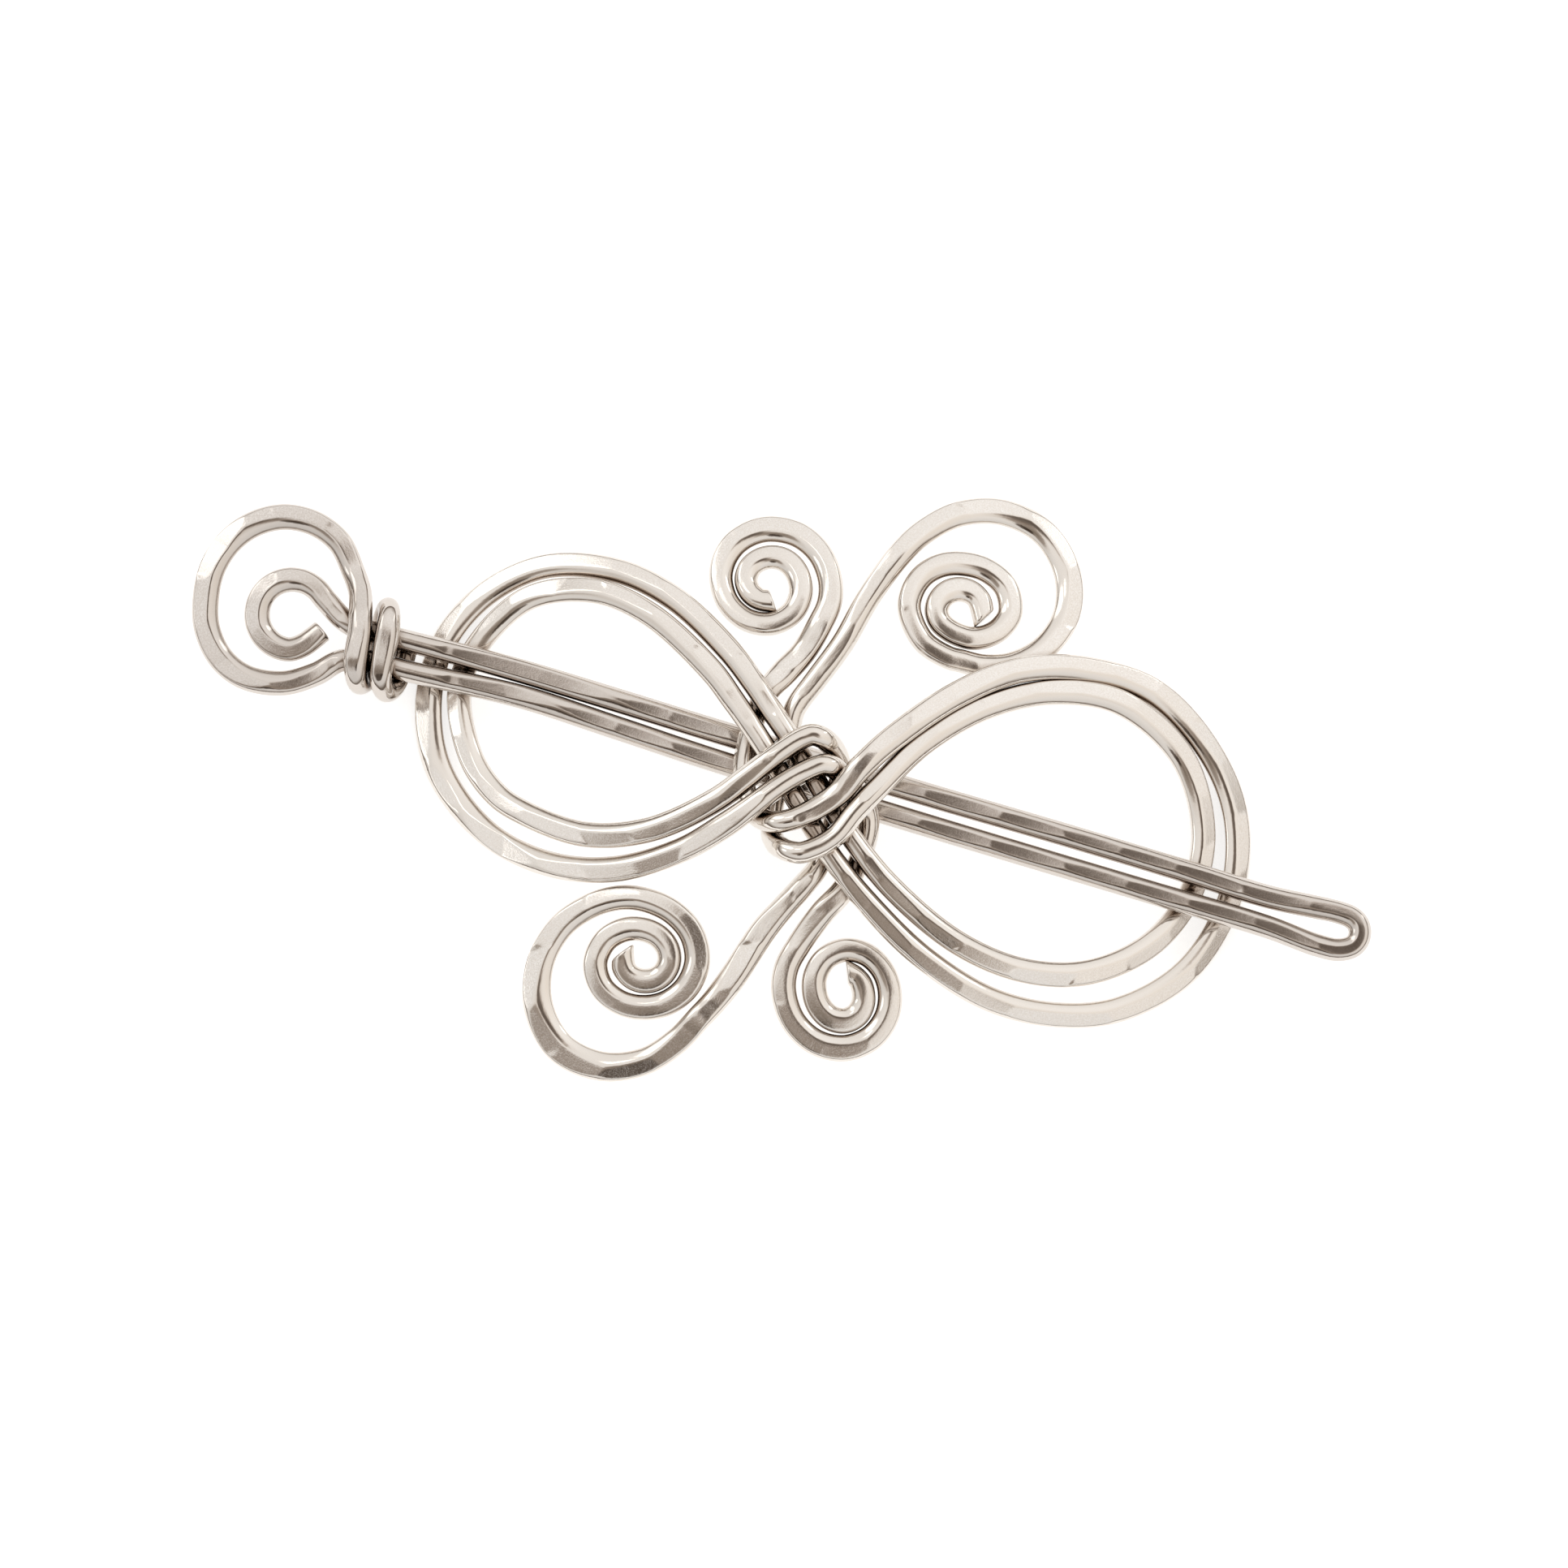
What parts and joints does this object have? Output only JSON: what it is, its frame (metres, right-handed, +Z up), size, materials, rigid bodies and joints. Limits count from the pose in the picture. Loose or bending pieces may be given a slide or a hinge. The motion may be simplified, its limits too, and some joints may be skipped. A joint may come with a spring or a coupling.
{
  "type": "scarf pin",
  "caption": "Figure-eight scarf pin of hammered silvery wire with a wrapped knot and scroll ends, threaded by a loose hairpin stick with a ring head.",
  "frame": {"origin": "on the table under the middle of the knot; the pin lies flat on z = 0 with the front of its knot up", "axes": "+Z up, away from the wearer; +X along the frame from the stick's ring head towards its tip; +Y across the frame, towards the side of the large scroll at the right of the knot"},
  "size_m": [0.1101, 0.055, 0.0124],
  "materials": {
    "frame_metal": "hammered, bright",
    "stick_metal": "bright, lightly hammered"
  },
  "bodies": {
    "frame": {"frame_wire_a": "frame_metal", "frame_wire_b": "frame_metal"},
    "stick": {"stick_wire": "stick_metal"}
  },
  "joints": [
    {"name": "stick_slide", "type": "slide", "parent": "frame", "child": "stick", "axis": [-0.9583, 0.2857, 0], "range_m": [-0.0008, 0.094]}
  ]
}
